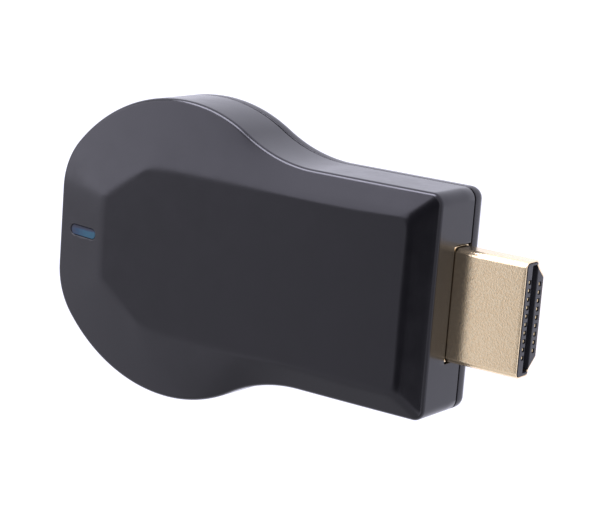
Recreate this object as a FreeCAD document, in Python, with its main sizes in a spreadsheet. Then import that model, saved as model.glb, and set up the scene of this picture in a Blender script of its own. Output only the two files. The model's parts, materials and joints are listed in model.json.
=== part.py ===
"""Streaming media player: a small plug-in box with a video plug at one end, as a parametric assembly.

Frame: origin at the middle of the back face, +X towards the video plug, +Z out of the front face.
The back face lies at z = 0. Lengths are millimetres.
"""
import FreeCAD, Part
import math
import os
import re

import Sketcher
from FreeCAD import Placement, Rotation, Vector

doc = FreeCAD.newDocument("streaming_player")

# ---------------------------------------------------------------- driving dimensions
SIZES = {
    # outline of the housing, seen from the front
    "body_length": 57.95, "plug_reach": 9.65, "head_half": 19.25, "neck_half": 13.65, "end_flat_half": 5.2,
    "shoulder_radius": 9.75, "crown_radius": 22.1, "waist_radius": 20.4, "corner_radius": 1.5,
    # heights of the housing
    "part_line": 2.6, "rim_height": 10.15, "total_height": 11.55, "back_edge": 1.6, "rim_edge": 0.4,
    "wall": 1.3, "floor_skin": 1.2,
    # raised flat of the front face
    "flat_left": 25.5, "flat_nose_half": 5.4, "flat_shoulder": 18.3, "flat_half": 10.5, "flat_right": 20.9,
    "flat_corner": 0.6, "flat_corner_rise": 0.43, "flat_mid_left": 2.0, "flat_mid_right": 8.0,
    # joint between the two shells
    "lip_gap": 0.05, "lip_skin": 0.6, "lip_height": 0.8, "hook_length": 2.5, "hook_skin": 0.8,
    "hook_rise": 2.6, "hook_bump": 0.3, "hook_bump_height": 0.6, "hook_first": 8.0, "hook_second": 17.5,
    "catch_gap": 0.15,
    # video plug, type A
    "plug_width": 13.9, "plug_height": 4.45, "plug_level": 4.0, "plug_skin": 0.3, "plug_side_drop": 0.55,
    "plug_step": 0.75, "plug_step_drop": 0.25, "plug_foot_half": 4.9, "plug_corner": 0.4, "plug_root": 6.4,
    "plug_gap": 0.2, "collar_length": 4.0, "collar_step": 0.45, "collar_set_back": 2.1,
    "tongue_slot_half": 6.4, "tongue_slot_low": 0.5, "tongue_slot_high": 0.8, "tongue_slot_depth": 8.0,
    "tip_recess": 0.0, "contact_pitch": 1.0, "contact_width": 0.3, "contact_skin": 0.2,
    "contact_hole": 0.55, "contact_top_row": 1.2, "contact_low_row": 1.25, "contact_tail": 2.4,
    "contact_set_back": 0.35, "contact_foot": 1.0, "contact_bend": 0.5,
    # circuit board
    "board_inset": 2.3, "board_skin": 1.0, "board_bay": 4.3, "board_bay_half": 7.9, "board_bay_gap": 0.3,
    "board_tongue_half": 5.8, "solder": 0.02,
    # power inlet, micro USB type B
    "inlet_width": 7.5, "inlet_height": 2.5, "inlet_depth": 5.4, "inlet_skin": 0.25, "inlet_bevel": 1.0,
    "inlet_set_back": 0.25, "inlet_gap": 0.5, "tongue_width": 3.9, "tongue_skin": 0.6, "tongue_rise": 0.45,
    "tongue_length": 3.6, "tongue_set_back": 0.8, "inlet_pitch": 0.65, "inlet_contact": 0.3,
    "inlet_contact_skin": 0.12,
    # indicator light
    "light_x": 29.2, "light_length": 4.8, "light_width": 1.35, "light_recess": 0.12, "light_gap": 0.05,
    "light_flange": 0.6, "light_flange_skin": 0.7, "light_foot": 25.4, "light_arm": 1.0, "lamp_gap": 0.1,
    # side button and its switch
    "button_turn": 19.9, "button_level": 5.8, "button_length": 4.2, "button_height": 2.0,
    "button_proud": 0.45, "button_gap": 0.12, "button_flange": 0.55, "button_seat": 1.75,
    "button_flange_skin": 0.6, "switch_length": 4.0, "switch_depth": 2.4, "switch_height": 2.3,
    "plunger_length": 1.8, "plunger_height": 1.0, "plunger_proud": 0.75, "plunger_gap": 0.08,
    "switch_floor": 0.4, "dome_radius": 0.8, "dome_gap": 0.1, "dome_height": 0.25, "dome_skin": 0.08,
    "travel": 0.3, "touch_gap": 0.05, "cover_skin": 0.15,
    # screws and pillars
    "boss_x": 10.5, "boss_y": 12.6, "boss_radius": 1.9, "pilot_radius": 0.75, "screw_radius": 0.72,
    "screw_hole": 1.0, "screw_head": 1.5, "screw_head_height": 0.8, "screw_length": 3.6,
    "recess_width": 0.35, "recess_depth": 0.4, "pillar_radius": 0.9, "pillar_x": 27.0, "pillar_y": 8.0,
    # screening can and heat path
    "can_left": 8.0, "can_right": 14.0, "can_half": 9.4, "can_height": 1.8, "can_skin": 0.2,
    "can_rail": 0.9, "lid_skirt": 1.1, "spreader_skin": 1.0, "spreader_left": 14.0, "spreader_right": 16.0,
    "spreader_half": 10.1, "spreader_drop": 0.05,
    "pad_left": 4.5, "pad_right": 11.5, "pad_half": 6.5,
}
# Packages soldered to the board: length along X, width along Y, height, side of the board, centres.
PACKAGES = {
    "processor": ((12.0, 12.0, 1.2), "front", [(-1.0, 1.6)]),
    "memory_chips": ((7.5, 7.8, 1.0), "front", [(9.3, 4.4), (9.3, -4.4)]),
    "flash_memory": ((11.5, 13.0, 1.0), "back", [(2.0, 0.0)]),
    "crystal": ((3.2, 2.5, 0.7), "front", [(-1.0, -6.8)]),
    "wireless_module": ((8.6, 8.0, 1.5), "front", [(-18.6, 6.6)]),
    "chip_antennas": ((5.2, 1.8, 1.1), "front", [(-18.6, 14.4), (-2.6, 11.6)]),
    "power_inductors": ((3.8, 3.8, 1.8), "front", [(-12.4, -8.2), (-12.4, -3.4)]),
    "voltage_regulators": ((3.0, 3.0, 0.9), "front", [(-17.0, -8.2), (-17.0, -3.8)]),
    "status_lamp": ((1.0, 1.6, 0.65), "front", [(-25.4, 0.0)]),
    "surge_guards": ((1.0, 2.5, 0.5), "back", [(13.8, 4.0), (13.8, 1.0), (13.8, -2.0), (13.8, -5.0)]),
}
# Rows of small packages: length, width, height, side, first centre, step, count.
ROWS = {
    "capacitors": ((1.6, 0.8, 0.8), [
        ("front", (-23.4, -6.0), (0.0, 1.5), 3), ("front", (-12.6, 2.6), (0.0, 1.5), 5),
        ("back", (-14.0, -9.0), (0.0, 2.0), 5), ("back", (-20.0, -6.0), (0.0, 2.0), 7),
        ("back", (-8.0, -4.5), (0.0, 1.5), 7),
    ]),
    "resistors": ((1.0, 0.5, 0.35), [
        ("front", (-22.0, -11.2), (1.6, 0.0), 4), ("front", (-9.6, 2.3), (0.0, 1.1), 6),
        ("back", (9.8, -6.0), (0.0, 1.2), 11), ("back", (-24.0, -4.4), (0.0, 1.1), 9),
    ]),
}

sheet = doc.addObject("Spreadsheet::Sheet", "sizes")


def add_size(name, number):
    """Put one driving dimension in the next free row of the sheet."""
    row = add_size.row
    sheet.set("A%d" % row, name)
    sheet.set("B%d" % row, str(number))
    sheet.setAlias("B%d" % row, name)
    add_size.names.add(name)
    add_size.row = row + 1


add_size.row = 1
add_size.names = set()
for size_name, size_number in SIZES.items():
    add_size(size_name, size_number)
for package, package_row in list(PACKAGES.items()) + list(ROWS.items()):
    for side_name, side_number in zip(("length", "width", "height"), package_row[0]):
        add_size("%s_%s" % (package, side_name), side_number)
doc.recompute()

# Positions worked out from the driving dimensions.
LEFT = "(body_length + plug_reach) / 2"               # distance of the flat end from the origin, towards -X
RIGHT = "(body_length - plug_reach) / 2"              # the wall that the plug comes out of
TIP = "(body_length + plug_reach) / 2"                # the plug's tip
BOARD_FRONT = "(plug_level + board_skin / 2)"
BOARD_BACK = "(plug_level - board_skin / 2)"
CEILING = "(rim_height - wall)"
SLOPE_RATE = "((total_height - rim_height) / (%s - flat_left))" % LEFT
CAN_TOP = "(plug_level + board_skin / 2 + can_height + can_skin)"


def value(expression):
    """Number that a formula over the sheet gives now."""
    return float(sheet.evalExpression(str(expression)))


def bound(expression):
    """The same formula, written so that any object can follow the sheet."""
    def qualify(match):
        word = match.group(1)
        return "sizes." + word if word in add_size.names else word
    return re.sub(r"\b([a-z]+(?:_[a-z]+)*)\b", qualify, str(expression))


# ---------------------------------------------------------------- helpers
def new_body(name, place=None):
    body = doc.addObject("PartDesign::Body", name)
    body.Label = name
    body.AllowCompound = True
    if place is not None:
        body.Placement = place
    return body


def new_sketch(body, name, role="XY_Plane", level="0"):
    """Sketch on one of the body's own origin planes, lifted off it by a bound distance."""
    sketch = body.newObject("Sketcher::SketchObject", name)
    plane = [feature for feature in body.Origin.OriginFeatures if feature.Role == role][0]
    sketch.AttachmentSupport = [(plane, "")]
    sketch.MapMode = "FlatFace"
    sketch.setExpression("AttachmentOffset.Base.z", bound(level))
    return sketch


def set_distance(sketch, kind, geometry, point, expression):
    """Bind one coordinate of a point to a formula, measured from the sketch's origin."""
    number = value(expression)
    if number >= 0:
        constraint = Sketcher.Constraint(kind, -1, 1, geometry, point, number)
        formula = bound(expression)
    else:
        constraint = Sketcher.Constraint(kind, geometry, point, -1, 1, -number)
        formula = bound("-(%s)" % expression)
    index = sketch.addConstraint(constraint)
    sketch.setExpression("Constraints[%d]" % index, formula)


def polygon(sketch, corners):
    """Closed polygon whose corners are pairs of formulas."""
    spots = [Vector(value(across), value(up), 0) for across, up in corners]
    count = len(spots)
    sides = [Part.LineSegment(spots[i], spots[(i + 1) % count]) for i in range(count)]
    first = sketch.addGeometry(sides, False)[0]
    for i in range(count):
        sketch.addConstraint(Sketcher.Constraint("Coincident", first + i, 2, first + (i + 1) % count, 1))
    for i, (across, up) in enumerate(corners):
        set_distance(sketch, "DistanceX", first + i, 1, across)
        set_distance(sketch, "DistanceY", first + i, 1, up)


def rectangle(sketch, low_x, high_x, low_y, high_y):
    polygon(sketch, [(low_x, low_y), (high_x, low_y), (high_x, high_y), (low_x, high_y)])


def circle(sketch, across, up, radius):
    centre = Vector(value(across), value(up), 0)
    index = sketch.addGeometry(Part.Circle(centre, Vector(0, 0, 1), value(radius)), False)
    ring = sketch.addConstraint(Sketcher.Constraint("Radius", index, value(radius)))
    sketch.setExpression("Constraints[%d]" % ring, bound(radius))
    set_distance(sketch, "DistanceX", index, 3, across)
    set_distance(sketch, "DistanceY", index, 3, up)


def arc(x, y, radius, start, stop):
    return Part.ArcOfCircle(Part.Circle(Vector(x, y, 0), Vector(0, 0, 1), radius), start, stop)


def stadium(sketch, across, up, length, width):
    """Slot with round ends, long along the sketch's first axis."""
    reach = "((%s) - (%s)) / 2" % (length, width)
    radius = value("(%s) / 2" % width)
    mid_x, mid_y, half = value(across), value(up), value(reach)
    quarter = math.pi / 2
    right = arc(mid_x + half, mid_y, radius, -quarter, quarter)
    left = arc(mid_x - half, mid_y, radius, quarter, 3 * quarter)
    top = Part.LineSegment(Vector(mid_x + half, mid_y + radius, 0), Vector(mid_x - half, mid_y + radius, 0))
    low = Part.LineSegment(Vector(mid_x - half, mid_y - radius, 0), Vector(mid_x + half, mid_y - radius, 0))
    first = sketch.addGeometry([right, top, left, low], False)[0]
    for i in range(4):
        sketch.addConstraint(Sketcher.Constraint("Tangent", first + i, 2, first + (i + 1) % 4, 1))
    ring = sketch.addConstraint(Sketcher.Constraint("Radius", first, radius))
    sketch.setExpression("Constraints[%d]" % ring, bound("(%s) / 2" % width))
    set_distance(sketch, "DistanceX", first, 3, "%s + %s" % (across, reach))
    set_distance(sketch, "DistanceX", first + 2, 3, "%s - %s" % (across, reach))
    set_distance(sketch, "DistanceY", first, 3, up)
    sketch.addConstraint(Sketcher.Constraint("Horizontal", first + 1))


def add_pad(body, sketch, name, length, reverse=False):
    pad = body.newObject("PartDesign::Pad", name)
    pad.Profile = sketch
    pad.Length = value(length)
    pad.setExpression("Length", bound(length))
    pad.Reversed = reverse
    doc.recompute()
    return pad


def add_pocket(body, sketch, name, length, along_normal):
    """Cut away material; a cut that misses the solid is an error."""
    before = body.Shape.Volume
    pocket = body.newObject("PartDesign::Pocket", name)
    pocket.Profile = sketch
    pocket.Length = value(length)
    pocket.setExpression("Length", bound(length))
    pocket.Reversed = along_normal
    doc.recompute()
    if not body.Shape.Volume < before:
        raise RuntimeError("%s cuts nothing from %s" % (name, body.Label))
    return pocket


def add_fillet(body, base, name, radius, chosen):
    """Round every edge of the last feature that the test picks."""
    edges = ["Edge%d" % (i + 1) for i, edge in enumerate(base.Shape.Edges) if chosen(edge)]
    fillet = body.newObject("PartDesign::Fillet", name)
    fillet.Base = (base, edges)
    fillet.Radius = value(radius)
    fillet.setExpression("Radius", bound(radius))
    doc.recompute()
    return fillet


def level_edge(height):
    """Test for an edge that lies flat at one height."""
    number = value(height)

    def chosen(edge):
        box = edge.BoundBox
        return abs(box.ZMin - number) < 0.001 and abs(box.ZMax - number) < 0.001
    return chosen


def x_edge(edge):
    """Test for a straight edge along X."""
    box = edge.BoundBox
    return box.YLength < 0.001 and box.ZLength < 0.001


def z_edge(edge):
    """Test for a straight edge along Z."""
    box = edge.BoundBox
    return box.XLength < 0.001 and box.YLength < 0.001


# ---------------------------------------------------------------- outlines shared by the shells and the board
def outline(sketch, inset="0", end=RIGHT, corner="corner_radius"):
    """Keyhole outline: flat end, round head, drawn-in waist and parallel neck, inset from the outer wall."""
    gap = value(inset)
    end_x, end_r = value(end), value(corner)
    left_x = -value(LEFT) + gap
    neck, head, flat = value("neck_half") - gap, value("head_half") - gap, value("end_flat_half")
    shoulder_r, crown_r = value("shoulder_radius") - gap, value("crown_radius") - gap
    bulge_r, waist_r = value("waist_radius") - gap, value("waist_radius") + gap
    turn = math.asin((crown_r + flat - head) / (crown_r - shoulder_r))
    widest_x = left_x + shoulder_r + (crown_r - shoulder_r) * math.cos(turn)
    swing = math.acos(1 - (head - neck) / (bulge_r + waist_r))
    waist_x = widest_x + (bulge_r + waist_r) * math.sin(swing)
    half_turn, quarter = math.pi, math.pi / 2

    def line(x_from, y_from, x_to, y_to):
        return Part.LineSegment(Vector(x_from, y_from, 0), Vector(x_to, y_to, 0))

    upper = [
        arc(end_x - end_r, neck - end_r, end_r, 0, quarter),
        line(end_x - end_r, neck, waist_x, neck),
        arc(waist_x, neck + waist_r, waist_r, -quarter - swing, -quarter),
        arc(widest_x, head - bulge_r, bulge_r, quarter - swing, quarter),
        arc(widest_x, head - crown_r, crown_r, quarter, half_turn - turn),
        arc(left_x + shoulder_r, flat, shoulder_r, half_turn - turn, half_turn),
    ]
    lower = [
        arc(left_x + shoulder_r, -flat, shoulder_r, half_turn, half_turn + turn),
        arc(widest_x, crown_r - head, crown_r, half_turn + turn, 3 * quarter),
        arc(widest_x, bulge_r - head, bulge_r, -quarter, swing - quarter),
        arc(waist_x, -neck - waist_r, waist_r, quarter, quarter + swing),
        line(waist_x, -neck, end_x - end_r, -neck),
        arc(end_x - end_r, end_r - neck, end_r, -quarter, 0),
    ]
    end_wall = line(end_x, end_r - neck, end_x, neck - end_r)
    flat_end = line(left_x, flat, left_x, -flat)
    sketch.addGeometry([end_wall] + upper + [flat_end] + lower, False)
    constraint = Sketcher.Constraint
    for one, point, other, start in ((0, 2, 1, 1), (1, 2, 2, 1), (2, 2, 3, 2), (3, 1, 4, 1), (4, 2, 5, 1),
                                     (5, 2, 6, 1), (6, 2, 7, 1)):
        sketch.addConstraint(constraint("Tangent", one, point, other, start))
    for one, point, other, start in ((7, 2, 8, 1), (8, 2, 9, 1), (9, 2, 10, 1), (10, 2, 11, 2),
                                     (11, 1, 12, 1), (12, 2, 13, 1), (13, 2, 0, 1)):
        sketch.addConstraint(constraint("Coincident", one, point, other, start))
    for one, point, other, mate in ((0, 2, 0, 1), (1, 2, 13, 1), (2, 2, 12, 1), (3, 1, 11, 2), (4, 2, 10, 1),
                                    (5, 2, 9, 1), (7, 1, 7, 2)):
        sketch.addConstraint(constraint("Symmetric", one, point, other, mate, -1))
    for one, other in ((1, 13), (3, 11), (4, 10), (5, 9), (6, 8)):
        sketch.addConstraint(constraint("Equal", one, other))
    sketch.addConstraint(constraint("Horizontal", 2))
    sketch.addConstraint(constraint("Vertical", 4, 3, 4, 2))
    for geometry, radius, formula in ((1, end_r, corner), (3, waist_r, "waist_radius + %s" % inset),
                                      (4, bulge_r, "waist_radius - %s" % inset),
                                      (5, crown_r, "crown_radius - %s" % inset),
                                      (6, shoulder_r, "shoulder_radius - %s" % inset)):
        index = sketch.addConstraint(constraint("Radius", geometry, radius))
        sketch.setExpression("Constraints[%d]" % index, bound(formula))
    set_distance(sketch, "DistanceX", 0, 1, end)
    set_distance(sketch, "DistanceX", 7, 1, "%s - %s" % (inset, LEFT))
    set_distance(sketch, "DistanceY", 2, 2, "neck_half - %s" % inset)
    set_distance(sketch, "DistanceY", 7, 1, "end_flat_half")
    set_distance(sketch, "DistanceY", 4, 2, "head_half - %s" % inset)


def raised_flat(sketch, inset="0"):
    """Eight-sided flat of the front face, with one corner for each corner of the outline below it."""
    inset = "(%s)" % inset
    side = "flat_half - %s" % inset
    right, left = "flat_right - %s" % inset, "%s - flat_left" % inset
    nose, shoulder = "flat_nose_half - %s * 0.4" % inset, "%s * 0.4 - flat_shoulder" % inset
    upper = [
        (right, "%s - flat_corner" % side), ("%s - flat_corner" % right, side),
        ("flat_mid_right", side), ("-flat_mid_left", side), (shoulder, side),
        ("%s + flat_corner" % left, "%s + flat_corner_rise" % nose), (left, nose),
    ]
    lower = [(across, "-(%s)" % up) for across, up in reversed(upper)]
    polygon(sketch, lower[-1:] + upper + lower[:-1])


def plug_profile(sketch, grow, low_only=False, cap=None):
    """D-shaped section of the plug: wide at the front, stepped in at the back, grown by a margin."""
    half, rise = "plug_width / 2 + %s" % grow, "plug_height / 2 + %s" % grow
    foot = "plug_foot_half + %s * 0.6" % grow
    top = cap if cap else "plug_level + %s" % rise
    right = [
        (half, top), (half, "plug_level - plug_side_drop - %s * 0.8" % grow),
        ("%s - plug_step" % half, "plug_level - plug_side_drop - plug_step_drop - %s * 0.8" % grow),
        (foot, "plug_level - (%s)" % rise),
    ]
    polygon(sketch, right + [("-(%s)" % across, up) for across, up in reversed(right)])


def wall_point():
    """Middle of the button on the outer wall, and the wall's outward direction there."""
    angle = math.radians(90 + value("button_turn"))
    radius, flat = value("crown_radius"), value("end_flat_half")
    turn = math.asin((radius + flat - value("head_half")) / (radius - value("shoulder_radius")))
    centre_x = -value(LEFT) + value("shoulder_radius") + (radius - value("shoulder_radius")) * math.cos(turn)
    centre_y = radius - value("head_half")
    outward = Vector(math.cos(angle), -math.sin(angle), 0)
    return Vector(centre_x, centre_y, value("button_level")) + outward * radius, outward


def button_frame():
    """Placement whose +X runs along the wall, +Y up and +Z out through the wall, at the button's middle."""
    spot, outward = wall_point()
    along = Vector(0, 0, 1).cross(outward)
    return Placement(spot, Rotation(along, Vector(0, 0, 1), outward, "ZXY"))


SUB_PARTS = []


def sub_part(maker):
    """Run a maker and keep the bodies that it returns."""
    made = maker()
    SUB_PARTS.extend(made if isinstance(made, list) else [made])
    return maker


# ---------------------------------------------------------------- housing
HOOK_STARTS = ("hook_first", "hook_second")


@sub_part
def front_shell():
    body = new_body("front_shell")
    rim = new_sketch(body, "rim_outline", level="part_line")
    outline(rim)
    add_pad(body, rim, "side_wall", "rim_height - rim_edge - part_line")
    top = new_sketch(body, "top_outline", level="rim_height - rim_edge")
    outline(top)
    bevel = new_sketch(body, "bevel_outline", level="rim_height")
    outline(bevel, inset="(rim_edge * 0.6)", end="%s - rim_edge * 0.6" % RIGHT)
    flat = new_sketch(body, "flat_outline", level="total_height")
    raised_flat(flat)
    slope = body.newObject("PartDesign::AdditiveLoft", "front_slopes")
    slope.Profile = top
    slope.Sections = [bevel, flat]
    slope.Ruled = True
    doc.recompute()
    cavity = new_sketch(body, "cavity_outline", level="part_line")
    outline(cavity, inset="wall", end="%s - wall" % RIGHT, corner="corner_radius / 2")
    add_pocket(body, cavity, "cavity", "%s - part_line" % CEILING, True)
    upper = new_sketch(body, "upper_cavity_outline", level=CEILING)
    raised_flat(upper, inset="wall * 1.3")
    add_pocket(body, upper, "upper_cavity", "total_height - wall - %s" % CEILING, True)
    posts = new_sketch(body, "post_outlines", level=BOARD_FRONT)
    for side in ("-", ""):
        circle(posts, "-boss_x", side + "boss_y", "boss_radius")
        circle(posts, "-pillar_x", side + "pillar_y", "pillar_radius")
    add_pad(body, posts, "posts", "%s - %s" % (CEILING, BOARD_FRONT))
    pilots = new_sketch(body, "pilot_outlines", level=BOARD_FRONT)
    for side in ("-", ""):
        circle(pilots, "-boss_x", side + "boss_y", "pilot_radius")
    add_pocket(body, pilots, "pilot_holes", "screw_length + 0.4", True)
    catch_low = "part_line + hook_rise - hook_bump_height - lip_gap * 2"
    catches = new_sketch(body, "catch_outlines", level=catch_low)
    inner, outer = "neck_half - wall - catch_gap", "neck_half - wall + hook_bump + catch_gap"
    for start in HOOK_STARTS:
        low, high = start + " - catch_gap", start + " + hook_length + catch_gap"
        rectangle(catches, low, high, inner, outer)
        rectangle(catches, low, high, "-(%s)" % outer, "-(%s)" % inner)
    add_pocket(body, catches, "catches", "hook_bump_height + lip_gap * 4", True)
    plug_way = new_sketch(body, "plug_way", "YZ_Plane", "%s - wall * 2" % RIGHT)
    rectangle(plug_way, "-(plug_width / 2 + plug_gap)", "plug_width / 2 + plug_gap", "part_line - 0.2",
              "plug_level + plug_height / 2 + plug_gap")
    add_pocket(body, plug_way, "plug_opening", "wall * 3", True)
    inlet_way = new_sketch(body, "inlet_way", "YZ_Plane", "-(%s) - 0.5" % LEFT)
    stadium(inlet_way, "0", BOARD_FRONT + " + inlet_height / 2", "inlet_width + inlet_gap * 2",
            "inlet_height + inlet_gap * 2")
    add_pocket(body, inlet_way, "inlet_opening", "wall + 1.0", True)
    light_way = new_sketch(body, "light_way", level=CEILING + " - 0.2")
    stadium(light_way, "-light_x", "0", "light_length + light_gap * 2", "light_width + light_gap * 2")
    add_pocket(body, light_way, "light_opening", "total_height - %s + 0.4" % CEILING, True)
    button_way = new_sketch(body, "button_way")
    button_way.setExpression("AttachmentOffset.Base.z", None)
    button_way.AttachmentOffset = button_frame()
    stadium(button_way, "0", "0", "button_length + button_gap * 2", "button_height + button_gap * 2")
    add_pocket(body, button_way, "button_opening", "wall * 1.5", False)
    return body


@sub_part
def back_shell():
    body = new_body("back_shell")
    base = new_sketch(body, "base_outline")
    outline(base)
    tray = add_pad(body, base, "tray", "part_line")
    add_fillet(body, tray, "back_round", "back_edge", level_edge("0"))
    cavity = new_sketch(body, "cavity_outline", level="floor_skin")
    outline(cavity, inset="wall", end="%s - wall" % RIGHT, corner="corner_radius / 2")
    add_pocket(body, cavity, "cavity", "part_line", True)
    lip = new_sketch(body, "lip_outline", level="floor_skin")
    outline(lip, inset="(wall + lip_gap)", end="%s - wall - lip_gap" % RIGHT, corner="corner_radius / 2")
    add_pad(body, lip, "lip", "part_line + lip_height - floor_skin")
    well = new_sketch(body, "well_outline", level="floor_skin")
    outline(well, inset="(wall + lip_gap + lip_skin)", end="%s - wall - lip_gap - lip_skin" % RIGHT,
            corner="corner_radius / 4")
    add_pocket(body, well, "well", "part_line + lip_height", True)
    hooks = new_sketch(body, "hook_outlines", level="floor_skin")
    bumps = new_sketch(body, "bump_outlines", level="part_line + hook_rise - hook_bump_height")
    outer, inner = "neck_half - wall - lip_gap", "neck_half - wall - lip_gap - hook_skin"
    for start in HOOK_STARTS:
        rectangle(hooks, start, start + " + hook_length", inner, outer)
        rectangle(hooks, start, start + " + hook_length", "-(%s)" % outer, "-(%s)" % inner)
        rectangle(bumps, start, start + " + hook_length", inner, outer + " + hook_bump")
        rectangle(bumps, start, start + " + hook_length", "-(%s + hook_bump)" % outer, "-(%s)" % inner)
    add_pad(body, hooks, "hooks", "part_line + hook_rise - floor_skin")
    add_pad(body, bumps, "hook_bumps", "hook_bump_height")
    pillars = new_sketch(body, "pillar_outlines", level="floor_skin - 0.2")
    for side in ("-", ""):
        circle(pillars, "-pillar_x", side + "pillar_y", "pillar_radius")
    add_pad(body, pillars, "pillars", "%s - floor_skin + 0.2" % BOARD_BACK)
    plug_way = new_sketch(body, "plug_way", "YZ_Plane", "%s - wall * 2 - lip_skin" % RIGHT)
    plug_profile(plug_way, "plug_gap", cap="plug_level + 1.0")
    add_pocket(body, plug_way, "plug_opening", "wall * 3 + lip_skin", True)
    return body


# ---------------------------------------------------------------- circuit board and what is soldered to it
@sub_part
def circuit_board():
    body = new_body("circuit_board")
    edge = new_sketch(body, "board_outline", level=BOARD_BACK)
    outline(edge, inset="board_inset", end="%s - board_bay" % RIGHT, corner="corner_radius / 2")
    add_pad(body, edge, "laminate", "board_skin")
    holes = new_sketch(body, "screw_holes", level=BOARD_BACK)
    slots = new_sketch(body, "plug_slots", level=BOARD_BACK)
    slot_start, slot_end = "%s - plug_root - board_bay_gap" % RIGHT, "%s - board_bay + board_bay_gap" % RIGHT
    for side in ("-", ""):
        circle(holes, "-boss_x", side + "boss_y", "screw_hole")
    rectangle(slots, slot_start, slot_end, "board_tongue_half", "board_bay_half")
    rectangle(slots, slot_start, slot_end, "-board_bay_half", "-board_tongue_half")
    add_pocket(body, holes, "holes", "board_skin", True)
    add_pocket(body, slots, "plug_slots_cut", "board_skin", True)
    return body


def package_level(name, side):
    """Height of a package's lower face, for either side of the board."""
    if side == "front":
        return BOARD_FRONT
    return "%s - %s_height" % (BOARD_BACK, name)


def package_block(sketch, name, centre_x, centre_y):
    half_x, half_y = "%s_length / 2" % name, "%s_width / 2" % name
    rectangle(sketch, "%g - %s" % (centre_x, half_x), "%g + %s" % (centre_x, half_x),
              "%g - %s" % (centre_y, half_y), "%g + %s" % (centre_y, half_y))


@sub_part
def packages():
    made = []
    for name, (_, side, centres) in PACKAGES.items():
        body = new_body(name)
        blocks = new_sketch(body, name + "_outlines", level=package_level(name, side))
        for centre_x, centre_y in centres:
            package_block(blocks, name, centre_x, centre_y)
        add_pad(body, blocks, name + "_blocks", name + "_height")
        made.append(body)
    return made


@sub_part
def small_packages():
    made = []
    for name, (_, rows) in ROWS.items():
        body = new_body(name)
        for side in ("front", "back"):
            blocks = new_sketch(body, "%s_%s_outlines" % (name, side), level=package_level(name, side))
            for row_side, (start_x, start_y), (step_x, step_y), count in rows:
                for i in range(count if row_side == side else 0):
                    package_block(blocks, name, start_x + step_x * i, start_y + step_y * i)
            add_pad(body, blocks, "%s_%s_blocks" % (name, side), name + "_height")
        made.append(body)
    return made


@sub_part
def screening_frame():
    body = new_body("screening_frame")
    walls = new_sketch(body, "wall_outline", level=BOARD_FRONT)
    rectangle(walls, "-can_left", "can_right", "-can_half", "can_half")
    rectangle(walls, "can_skin - can_left", "can_right - can_skin", "can_skin - can_half",
              "can_half - can_skin")
    add_pad(body, walls, "walls", "can_height")
    rail = new_sketch(body, "rail_outline", level="%s + can_height - can_skin" % BOARD_FRONT)
    rectangle(rail, "-can_left", "can_right", "-can_half", "can_half")
    rectangle(rail, "can_rail - can_left", "can_right - can_rail", "can_rail - can_half",
              "can_half - can_rail")
    add_pad(body, rail, "rail", "can_skin")
    return body


@sub_part
def screening_lid():
    body = new_body("screening_lid")
    skin, low = "can_skin", CAN_TOP + " - can_skin"
    plate = new_sketch(body, "plate_outline", level=low)
    rectangle(plate, "-can_left - can_skin", "can_right + can_skin", "-can_half - can_skin",
              "can_half + can_skin")
    add_pad(body, plate, "plate", skin)
    skirt = new_sketch(body, "skirt_outline", level=low + " - lid_skirt")
    rectangle(skirt, "-can_left - can_skin", "can_right + can_skin", "-can_half - can_skin",
              "can_half + can_skin")
    rectangle(skirt, "-can_left - solder", "can_right + solder", "-can_half - solder", "can_half + solder")
    add_pad(body, skirt, "skirt", "lid_skirt")
    return body


@sub_part
def heat_path():
    """Soft pad on the screening lid, and the aluminium plate that it presses against the front shell."""
    pad = new_body("thermal_pad")
    spreader_low = "(%s - spreader_drop - spreader_skin)" % CEILING
    block = new_sketch(pad, "pad_outline", level=CAN_TOP)
    rectangle(block, "-pad_left", "pad_right", "-pad_half", "pad_half")
    add_pad(pad, block, "pad_block", "%s - %s" % (spreader_low, CAN_TOP))
    plate = new_body("heat_spreader")
    sheet_outline = new_sketch(plate, "plate_outline", level=spreader_low)
    rectangle(sheet_outline, "-spreader_left", "spreader_right", "-spreader_half", "spreader_half")
    flat = add_pad(plate, sheet_outline, "plate", "spreader_skin")
    add_fillet(plate, flat, "plate_corners", "corner_radius", z_edge)
    return [pad, plate]


@sub_part
def board_screws():
    body = new_body("board_screws")
    heads = new_sketch(body, "head_outlines", level=BOARD_BACK + " - screw_head_height")
    shanks = new_sketch(body, "shank_outlines", level=BOARD_BACK)
    slots = new_sketch(body, "recess_outlines", level=BOARD_BACK + " - screw_head_height")
    for side in ("-", ""):
        circle(heads, "-boss_x", side + "boss_y", "screw_head")
        circle(shanks, "-boss_x", side + "boss_y", "screw_radius")
        arm, thin = "screw_head * 0.6", "recess_width / 2"
        spot = side + "boss_y"
        plus = [(arm, "-" + thin), (arm, thin), (thin, thin), (thin, arm), ("-" + thin, arm),
                ("-" + thin, thin), ("-" + arm, thin), ("-" + arm, "-" + thin), ("-" + thin, "-" + thin),
                ("-" + thin, "-" + arm), (thin, "-" + arm), (thin, "-" + thin)]
        polygon(slots, [("-boss_x + %s" % across, "%s + %s" % (spot, up)) for across, up in plus])
    add_pad(body, heads, "heads", "screw_head_height")
    add_pad(body, shanks, "shanks", "board_skin + screw_length")
    add_pocket(body, slots, "cross_recesses", "recess_depth", True)
    return body


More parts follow.
